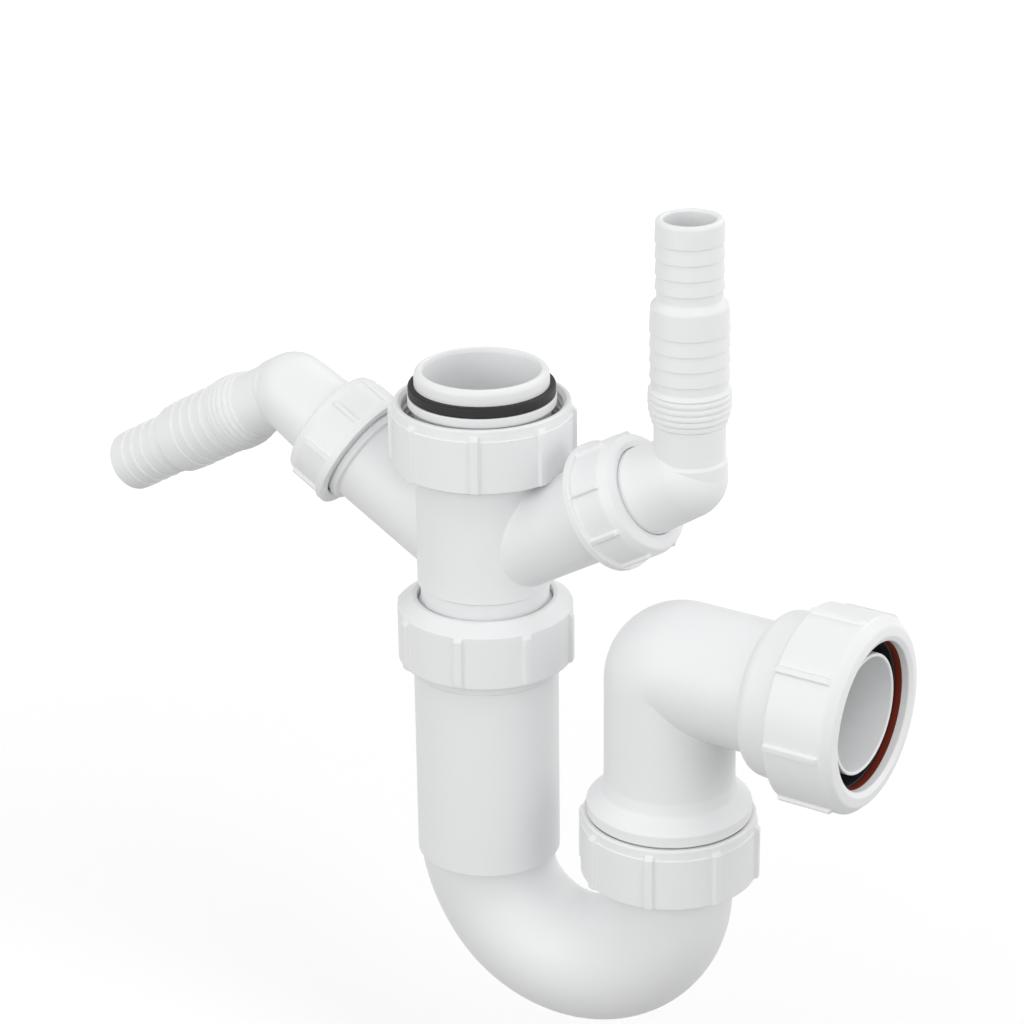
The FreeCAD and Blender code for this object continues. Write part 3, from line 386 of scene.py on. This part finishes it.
def middle_nut():
    """The nut at the foot of the tee: mouth down, with a conical top."""
    height, lip, hole, wall, mouth = 20.0, 3.2, 20.7, 26.7, 23.7
    outline = rounded_outline([
        (mouth, 0.7), (mouth + 0.6, 0, 0.2), (wall, 0, 0.5), (wall, height - 3.2, 0.3),
        (hole + 1.4, height, 0.5), (hole, height, 0.3), (hole, height - lip, 0.2),
        (mouth, height - lip)])
    rib = (1.1, 1.0, 0.65, 0.4, height - 3.1, 0.4, 1.3)
    matrix = move(0, 0, MIDDLE_NUT_MOUTH) @ turn_z(NUT_TURN["middle"])
    ribbed_nut("middle_nut", matrix, outline, wall, rib)


def outlet_nut():
    """The large nut round the waste pipe, with a rounded front."""
    height, lip, hole, wall, mouth = 20.8, 3.0, 22.1, 29.2, 26.3
    outline = rounded_outline([
        (mouth, 0.8), (mouth + 0.7, 0, 0.2), (wall, 0, 0.5), (wall, height - 3.0, 1.2),
        (wall - 2.6, height - 0.4, 1.4), (hole + 1.6, height, 0.8), (hole, height - 0.8, 0.5),
        (hole, height - lip), (mouth, height - lip)])
    rib = (1.1, 0.75, 0.4, 0.2, height - 3.3, 0.3, 0.9)
    matrix = outlet_frame() @ move(0, 0, OUTLET_NUT_BACK) @ turn_z(180 + NUT_TURN["outlet"])
    ribbed_nut("outlet_nut", matrix, outline, wall, rib)


def arm_nut(side):
    """The union nut of an arm: a rim at its mouth and a rounded back."""
    height, lip, hole, wall, mouth, rim = 16.0, 3.0, 13.3, 18.45, 16.0, 19.65
    outline = rounded_outline([
        (mouth, 0.6), (mouth + 0.5, 0, 0.2), (rim, 0, 0.3), (rim, 2.3, 0.3), (wall, 2.6, 0.2),
        (wall, height - 3.9, 1.8), (wall - 1.0, height - 1.1, 1.3), (hole + 1.8, height, 0.8),
        (hole, height - 0.4, 0.4), (hole, height - lip), (mouth, height - lip)])
    rib = (1.0, 0.5, 0.45, 1.2, height - 3.2, 0.4, 0.9)
    matrix = arm_frame(side) @ move(0, 0, ARM_NUT_MOUTH) @ turn_z(NUT_TURN[side])
    ribbed_nut(side + "_nut", matrix, outline, wall, rib)


def nuts():
    flip = turn_x(180)
    inlet = move(0, 0, INLET_NUT_MOUTH) @ flip @ turn_z(NUT_TURN["inlet"])
    bend = move(CENTRES, 0, BEND_NUT_MOUTH) @ flip @ turn_z(NUT_TURN["bend"])
    mouth_up_nut("inlet_nut", inlet, mouth=24.1, wall=27.0, hole=21.0, rim=26.4, taper=3.4)
    mouth_up_nut("bend_nut", bend, mouth=23.7, wall=26.7, hole=20.1, rim=26.2, taper=3.2)
    middle_nut()
    outlet_nut()
    arm_nut("left")
    arm_nut("right")


def upright_rings(x, outline):
    """Rings of the given (radius, height) points about an upright axis."""
    return [(Vector((x, 0, point[1])), Vector((1, 0, 0)), Vector((0, 1, 0)), point[0], None)
            for point in outline]


def bend_rings(radius_at, onward, steps=60):
    """Rings round the return bend, from the leg to the riser where onward, else back."""
    rings = []
    half = CENTRES / 2
    for step in range(steps + 1):
        share = step / steps if onward else 1 - step / steps
        angle = math.pi * share
        inward = Vector((math.cos(angle), 0, math.sin(angle)))
        centre = Vector((half, 0, BEND_HEIGHT)) - inward * half
        rings.append((centre, inward, Vector((0, 1, 0)), radius_at(share), None))
    return rings


def outside_of_bend(share):
    """The bend's outer radius: it narrows from the leg's end over the first part of the bend."""
    spare = 1 - min(1, share * 180 / BEND_START_ANGLE)
    return BEND_RADIUS + (BEND_START_RADIUS - BEND_RADIUS) * spare ** 2


def trap_body():
    """The leg, the return bend and the riser, drawn as one skin of rings."""
    leg_radius, leg_bore, leg_top, bore_taper = 22.15, 19.75, -77.2, 2.4
    thread_radius = 23.3
    collar_radius, collar_top, collar_bottom = 22.75, -88.0, -91.4
    groove_radius = 21.95
    flange_radius, flange_bottom, flange_top = 22.1, -142.6, -139.6
    nose_radius, nose_top = 19.3, -132.0
    riser_start = BEND_HEIGHT + 0.3
    leg = rounded_outline([
        (19.8, leg_top, 0.3), (thread_radius, leg_top, 0.6), (thread_radius, collar_top),
        (collar_radius, collar_top),
        (collar_radius, collar_bottom, 0.15), (groove_radius, collar_bottom - 0.1, 0.05),
        (groove_radius, collar_bottom - 0.4, 0.05), (leg_radius, collar_bottom - 0.5, 0.05),
        (leg_radius, BEND_HEIGHT, 0.15)], closed=False)
    riser = rounded_outline([
        (BEND_RADIUS, riser_start), (BEND_RADIUS, flange_bottom),
        (flange_radius, flange_bottom, 0.3), (flange_radius, flange_top, 0.3),
        (nose_radius, flange_top), (nose_radius, nose_top, 0.8), (BEND_BORE, nose_top, 0.5),
        (BEND_BORE, riser_start)], closed=False)
    rings = upright_rings(0, leg)
    rings += bend_rings(outside_of_bend, True)
    rings += [(centre, -first, second, radius, reach)
              for centre, first, second, radius, reach in upright_rings(CENTRES, riser)]
    rings += bend_rings(lambda share: BEND_BORE, False)
    rings += upright_rings(0, [(BEND_BORE, BEND_HEIGHT), (leg_bore, BEND_HEIGHT + bore_taper),
                               (leg_bore, leg_top - 0.2)])
    make_piece("trap_body", [sweep(rings, Matrix())], "trap", WHITE)


def corner_rings(radius, ascending, steps=36):
    """Rings of the elbow's tight corner, from the riser round to the outlet."""
    rings = []
    pivot = Vector((ELBOW_BEND, 0, -ELBOW_BEND))
    order = range(steps + 1) if ascending else range(steps, -1, -1)
    for step in order:
        angle = math.pi / 2 * step / steps
        outward = Vector((-math.cos(angle), 0, math.sin(angle)))
        centre = pivot + outward * ELBOW_BEND
        rings.append((centre, outward, Vector((0, 1, 0)), radius, -ELBOW_BEND))
    return rings


def outlet_elbow():
    """Riser tube with its flared collar, tight corner, socket and the tube inside it."""
    level, towards_leg, upward = Vector((0, 1, 0)), Vector((-1, 0, 0)), Vector((0, 0, 1))
    corner_end = ELBOW_BEND + 0.2
    foot, flare_bottom, flare_top, flare_radius = -136.6, -125.6, -122.1, 24.9
    thread_radius, entry_radius, entry_top = 23.3, 19.7, -133.0
    socket_start, socket_mouth, socket_radius, socket_bore = 34.2, 62.0, 25.9, 22.2
    shoulder = 4.5
    annulus_start = socket_start + 2.7
    tube_end, tube_radius = 64.1, 17.9
    riser = rounded_outline([
        (19.8, foot, 0.3), (thread_radius, foot, 0.5), (thread_radius, flare_bottom),
        (flare_radius, flare_bottom, 0.4), (flare_radius, flare_top, 0.6),
        (20.4, flare_top + 4.2, 1.6), (ELBOW_RADIUS, flare_top + 8.1, 2.0),
        (ELBOW_RADIUS, OUTLET_HEIGHT - corner_end)], closed=False)
    outlet = rounded_outline(
        [(ELBOW_RADIUS, corner_end), (ELBOW_RADIUS, socket_start, 0.5)]
        + arc(20.25, socket_start + shoulder, shoulder, -90, 0)
        + [(25.6, 46.9, 0.2), (socket_radius, 48.4, 0.2), (socket_radius, socket_mouth, 0.3),
           (24.6, socket_mouth, 0.2), (socket_bore, 59.6), (socket_bore, annulus_start),
           (tube_radius, annulus_start), (tube_radius, tube_end, 0.45),
           (ELBOW_BORE, tube_end, 0.45), (ELBOW_BORE, corner_end)], closed=False)
    bore = [Vector(point) for point in (
        (ELBOW_BORE, OUTLET_HEIGHT - corner_end), (ELBOW_BORE, entry_top + 3.0),
        (entry_radius, entry_top), (entry_radius, foot + 0.2))]

    def upright(outline):
        return [(Vector((0, 0, point.y - OUTLET_HEIGHT)), towards_leg, level, point.x, None)
                for point in outline]

    rings = upright(riser)
    rings += corner_rings(ELBOW_RADIUS, True)
    rings += [(Vector((point.y, 0, 0)), upward, level, point.x, None) for point in outlet]
    rings += corner_rings(ELBOW_BORE, False)
    rings += upright(bore)
    make_piece("outlet_elbow", [sweep(rings, elbow_frame())], "elbow", WHITE)


def barbs(start, crest):
    """Rings whose edge towards the elbow is sharp and that fall away towards the tip."""
    corners = []
    pitch, count, depth = 4.57, 4, 0.45
    for index in range(count):
        at = start + pitch * index
        corners.append((crest - depth, at - 0.14, 0.04))
        corners.append((crest, at + 0.08, 0.06))
    return corners


def ridges():
    """The ridged stretch: the lowest ridges are smaller."""
    root, at, pitch = 10.3, 16.9, 1.93
    corners = [(root, at - 0.2, 0.1)]
    for top in (10.9, 11.5, 11.9, 12.0, 12.0):
        corners += [(top - 0.75, at, 0.1), (top, at + 0.5, 0.25), (top, at + 1.3, 0.25)]
        at += pitch
    corners += [(11.3, at, 0.1), (12.0, at + 0.5, 0.3), (11.1, 28.3, 0.5)]
    return corners


def nozzle(side):
    """Nose and flange in the arm, a ball at the corner, ridges and two sizes of barb."""
    hose_bore, tip = 7.4, 77.4
    nose_radius, nose_start, nose_bore = 11.2, 52.6, 9.9
    flange_radius, flange_start, flange_end = 15.2, 59.6, 62.1
    hose = [(0, 0), (10.85, 0), (10.85, 5.6, 0.3), (10.3, 6.6, 0.3)] + ridges()
    hose += barbs(31.05, 11.5)
    hose += [(11.1, 52.3, 1.4), (9.45, 54.2, 1.0)]
    hose += barbs(57.15, 9.88)
    hose += [(9.65, tip, 1.3), (hose_bore, tip, 0.8), (hose_bore, 2.0), (0, 2.0)]
    stub = rounded_outline([
        (nose_bore, nose_start), (nose_radius, nose_start, 0.4), (nose_radius, flange_start),
        (flange_radius, flange_start), (flange_radius, flange_end), (13.15, flange_end),
        (13.15, 66.3, 0.5), (NOZZLE_CORNER_RADIUS, NOZZLE_CORNER), (nose_bore, NOZZLE_CORNER)])
    ball = [Vector(point)
            for point in arc(0, NOZZLE_CORNER, NOZZLE_CORNER_RADIUS, -8, 90, steps=14)]
    lean = math.radians(NOZZLE_BEND)
    at = move(-NOZZLE_OFFSET * math.cos(lean), 0, NOZZLE_CORNER + NOZZLE_OFFSET * math.sin(lean))
    matrix = nozzle_frame(side)
    hose_matrix = matrix @ at @ turn_y(NOZZLE_BEND)
    skins = [lathe(stub, matrix), lathe(ball, matrix),
             lathe(rounded_outline(hose, closed=False), hose_matrix)]
    make_piece(side + "_nozzle", skins, side + "_nozzle", WHITE)


def saddle(radius, bearing, reach, sign):
    """Distance along an arm where a line on it at that radius meets the upright tube."""
    lean = math.radians(90 - ARM_SLOPE)
    across = sign * radius * math.cos(bearing)
    level = radius * math.sin(bearing)
    wide = math.sqrt(max(reach ** 2 - level ** 2, 0))
    return (wide - across * math.cos(lean)) / math.sin(lean)


def root_point(fillet, bearing, share, sign):
    """A point of the rounding between an arm and the tube: share 0 is on the tube."""
    lean = math.radians(90 - ARM_SLOPE)
    along = saddle(ARM_RADIUS + fillet, bearing, TEE_RADIUS + fillet, sign)
    outward = Vector((math.cos(bearing), math.sin(bearing), 0))
    centre = outward * (ARM_RADIUS + fillet) + Vector((0, 0, along))
    # The tube's axis in the arm's frame leans by the arm's angle from upright.
    axis = Vector((-sign * math.sin(lean), 0, math.cos(lean)))
    from_tube = (centre - axis * centre.dot(axis)).normalized()
    angle = from_tube.angle(outward)
    if math.isclose(angle, 0, abs_tol=0.001):
        return centre - outward * fillet
    near = from_tube * math.sin((1 - share) * angle) + outward * math.sin(share * angle)
    return centre - near * (fillet / math.sin(angle))


def arm_skin(side):
    """An arm from its root on the tube to its mouth, and back along its passage."""
    sign = SIDE[side]
    fillet, fillet_steps = 0.4, 6
    passage_root, halfway = 18.5, 40.0
    bead_start, bead_end = 46.4, 49.0
    male_radius, mouth_radius, mouth, mouth_depth = 15.5, 11.8, 57.6, 52.2
    outer = rounded_outline([
        (ARM_RADIUS, halfway), (ARM_RADIUS, bead_start, 0.3), (15.9, bead_start + 0.5, 0.4),
        (16.0, bead_end, 0.4), (male_radius, bead_end + 0.1), (male_radius, mouth, 0.5),
        (mouth_radius, mouth, 0.4), (mouth_radius, mouth_depth), (ARM_PASSAGE, mouth_depth),
        (ARM_PASSAGE, halfway)], closed=False)
    columns = []
    for step in range(RING_SEGMENTS):
        bearing = 2 * math.pi * step / RING_SEGMENTS
        across, level = math.cos(bearing), math.sin(bearing)
        column = [root_point(fillet, bearing, share / fillet_steps, sign)
                  for share in range(fillet_steps + 1)]
        column += [Vector((point.x * across, point.x * level, point.y)) for point in outer]
        column.append(Vector((ARM_PASSAGE * across, ARM_PASSAGE * level,
                              saddle(ARM_PASSAGE, bearing, passage_root, sign))))
        columns.append([arm_frame(side) @ point for point in column])
    return skin([list(row) for row in zip(*columns)], closed_rows=False)


def tee_body():
    """Spigot, washer's groove and flange, tube, flange and nose of the middle union; the arms."""
    flange_radius, nose_radius = 22.1, 19.3
    groove_radius, washer_seat, flange_bottom = 19.7, -3.2, -6.2
    neck_radius, neck_top, neck_bottom = 19.5, -63.4, -68.9
    middle_flange_top, middle_flange_bottom, nose_end = -71.2, -74.2, -81.8
    outline = rounded_outline(
        [(TEE_BORE, 3.2), (17.8, 4.45, 0.3)] + arc(18.4, 2.9, 1.7, 90, 0)
        + [(20.1, 0.0), (groove_radius, 0.0), (groove_radius, washer_seat),
           (flange_radius, washer_seat, 0.3), (flange_radius, flange_bottom, 0.4),
           (TEE_RADIUS, flange_bottom), (TEE_RADIUS, neck_top + 0.6, 0.2),
           (neck_radius, neck_top, 0.2), (neck_radius, neck_bottom, 0.3),
           (TEE_RADIUS, neck_bottom - 0.9), (TEE_RADIUS, middle_flange_top),
           (flange_radius, middle_flange_top, 0.3), (flange_radius, middle_flange_bottom, 0.3),
           (nose_radius, middle_flange_bottom), (nose_radius, nose_end, 0.8),
           (TEE_BORE, nose_end, 0.5)])
    skins = [lathe(outline, turn_z(TEE_TURN)), arm_skin("left"), arm_skin("right")]
    make_piece("tee_body", skins, "tee", WHITE)


def rings_and_washers():
    """The washers and the seal that show, as pieces; the hidden washers only get their look."""
    shapes = (
        ("inlet_washer", "tee", Matrix(), BLACK, [
            (19.75, -3.2), (21.9, -3.2, 0.5), (21.9, 0, 0.6), (20.15, 0, 0.4), (19.75, -0.4)]),
        ("outlet_slip_washer", "elbow", outlet_frame(), RED, [
            (21.9, 62.5, 0.1), (25.7, 62.5), (25.7, 64.5), (21.9, 64.5, 0.1)]),
        ("outlet_seal", "elbow", outlet_frame(), BLACK, [
            (21.45, 54.6, 0.4), (22.15, 54.6), (22.15, 59.6), (24.5, 62.0), (24.5, 62.4),
            (21.45, 62.4, 0.4)]))
    for node, body, matrix, material, outline in shapes:
        make_piece(node, [lathe(rounded_outline(outline), matrix)], body, material)
    for node in ("middle_washer", "bend_washer", "left_washer", "right_washer"):
        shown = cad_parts[node]
        shown.data.materials.clear()
        shown.data.materials.append(BLACK)


def camera():
    """The photograph's view; its place, angles and focal length fit the object's outlines."""
    focal_px, image_px, sensor = 3060.0, 1024.0, 36.0
    elevation, azimuth, roll = (math.radians(v) for v in (22.88, 29.83, -0.73))
    right = Vector((math.cos(azimuth), math.sin(azimuth), 0))
    toward = Vector((math.sin(azimuth), -math.cos(azimuth), 0))
    up = Vector((0, 0, 1)) * math.cos(elevation) - toward * math.sin(elevation)
    back = toward * math.cos(elevation) + Vector((0, 0, 1)) * math.sin(elevation)
    across = right * math.cos(roll) + up * math.sin(roll)
    upward = up * math.cos(roll) - right * math.sin(roll)
    place = Vector((0.42742, -0.72849, 0.31494))
    data = bpy.data.cameras.new("camera")
    data.sensor_width = sensor
    data.lens = focal_px * sensor / image_px
    data.clip_start = 0.05
    data.clip_end = 20
    view = bpy.data.objects.new("camera", data)
    view.matrix_world = Matrix((
        (across.x, upward.x, back.x, place.x), (across.y, upward.y, back.y, place.y),
        (across.z, upward.z, back.z, place.z), (0, 0, 0, 1)))
    bpy.context.scene.collection.objects.link(view)
    bpy.context.scene.camera = view


# Name, place in metres, diameter in metres and power in watts of each round soft lamp.
LAMPS = (
    ("top_left", (-0.9, -0.7, 1.1), 0.8, 2.0),
    ("top_right", (0.8, -0.3, 1.2), 0.6, 2.3),
    ("front", (0.5, -1.3, 0.5), 0.9, 2.9),
    ("front_left", (-0.5, -1.2, 0.3), 0.8, 4.2),
    ("right", (1.4, -0.5, 0.3), 0.9, 2.8),
    ("back_right", (1.2, 0.8, 0.3), 0.8, 3.8),
    ("back", (0.2, 1.2, 0.9), 1.0, 4.8),
)
# The point that every lamp faces, in the object's middle.
LAMP_TARGET = (0.02, 0, -0.08)
# The white surroundings: how bright they are as a light, and as the camera sees them.
WORLD_LIGHT = 0.64
WORLD_SEEN = 1.0
# The floor in metres: half its width, and its height, clear of the bend.
FLOOR_REACH = 6.0
FLOOR_HEIGHT = -0.25
# The floor's colour for the light that falls back on the object, and as the camera sees it.
FLOOR_BOUNCE = 0.35
FLOOR_SEEN = 0.82
FLOOR_ROUGHNESS = 0.9
# The glow that lifts the seen floor to white: weak near the object, so that its shadow shows, and
# full from the far distance on. The distances are in metres from the frame's origin.
GLOW_NEAR = 0.15
GLOW_FAR = 0.6
NEAR_DISTANCE = 0.3
FAR_DISTANCE = 1.2


def lamps():
    target = Vector(LAMP_TARGET)
    for name, place, size, power in LAMPS:
        data = bpy.data.lights.new(name, "AREA")
        data.shape = "DISK"
        data.size = size
        data.energy = power
        light = bpy.data.objects.new(name, data)
        light.location = place
        light.rotation_euler = (target - Vector(place)).to_track_quat("-Z", "Y").to_euler()
        bpy.context.scene.collection.objects.link(light)


def seen_by_camera(tree, second):
    """1 for rays from the camera and for rays of a second kind, 0 for the others."""
    path = tree.nodes.new("ShaderNodeLightPath")
    seen = tree.nodes.new("ShaderNodeMath")
    seen.operation = "MAXIMUM"
    tree.links.new(path.outputs["Is Camera Ray"], seen.inputs[0])
    tree.links.new(path.outputs[second], seen.inputs[1])
    return seen.outputs[0]


def floor():
    """A wide white floor, which only the camera and reflections see as lit to full white."""
    corners = [(x * FLOOR_REACH, y * FLOOR_REACH, FLOOR_HEIGHT)
               for x, y in ((-1, -1), (1, -1), (1, 1), (-1, 1))]
    mesh = bpy.data.meshes.new("floor")
    mesh.from_pydata(corners, [], [(0, 1, 2, 3)])
    ground = bpy.data.objects.new("floor", mesh)
    bpy.context.scene.collection.objects.link(ground)
    material = bpy.data.materials.new("floor")
    material.use_nodes = True
    nodes = material.node_tree.nodes
    links = material.node_tree.links
    shader = nodes["Principled BSDF"]
    seen = seen_by_camera(material.node_tree, "Is Glossy Ray")
    shade = nodes.new("ShaderNodeMapRange")
    shade.inputs["To Min"].default_value = FLOOR_BOUNCE
    shade.inputs["To Max"].default_value = FLOOR_SEEN
    links.new(seen, shade.inputs["Value"])
    links.new(shade.outputs["Result"], shader.inputs["Base Color"])
    shader.inputs["Roughness"].default_value = FLOOR_ROUGHNESS
    shader.inputs["Specular IOR Level"].default_value = 0.0
    spot = nodes.new("ShaderNodeNewGeometry")
    distance = nodes.new("ShaderNodeVectorMath")
    distance.operation = "LENGTH"
    links.new(spot.outputs["Position"], distance.inputs[0])
    spread = nodes.new("ShaderNodeMapRange")
    spread.interpolation_type = "SMOOTHSTEP"
    spread.inputs["From Min"].default_value = NEAR_DISTANCE
    spread.inputs["From Max"].default_value = FAR_DISTANCE
    spread.inputs["To Min"].default_value = GLOW_NEAR
    spread.inputs["To Max"].default_value = GLOW_FAR
    links.new(distance.outputs["Value"], spread.inputs["Value"])
    strength = nodes.new("ShaderNodeMath")
    strength.operation = "MULTIPLY"
    links.new(spread.outputs["Result"], strength.inputs[1])
    links.new(seen, strength.inputs[0])
    glow = nodes.new("ShaderNodeEmission")
    glow.inputs["Color"].default_value = (1, 1, 1, 1)
    links.new(strength.outputs[0], glow.inputs["Strength"])
    add = nodes.new("ShaderNodeAddShader")
    links.new(shader.outputs[0], add.inputs[0])
    links.new(glow.outputs[0], add.inputs[1])
    links.new(add.outputs[0], nodes["Material Output"].inputs["Surface"])
    mesh.materials.append(material)


def surroundings():
    """White all round: as WORLD_SEEN for the camera and through glass, as WORLD_LIGHT for light."""
    world = bpy.data.worlds.new("world")
    bpy.context.scene.world = world
    world.use_nodes = True
    nodes = world.node_tree.nodes
    background = nodes["Background"]
    background.inputs["Color"].default_value = (1, 1, 1, 1)
    level = nodes.new("ShaderNodeMapRange")
    level.inputs["To Min"].default_value = WORLD_LIGHT
    level.inputs["To Max"].default_value = WORLD_SEEN
    links = world.node_tree.links
    links.new(seen_by_camera(world.node_tree, "Is Transmission Ray"), level.inputs["Value"])
    links.new(level.outputs["Result"], background.inputs["Strength"])
    bpy.context.scene.view_settings.view_transform = "Standard"


tee_body()
trap_body()
outlet_elbow()
nuts()
nozzle("left")
nozzle("right")
rings_and_washers()
camera()
lamps()
floor()
surroundings()
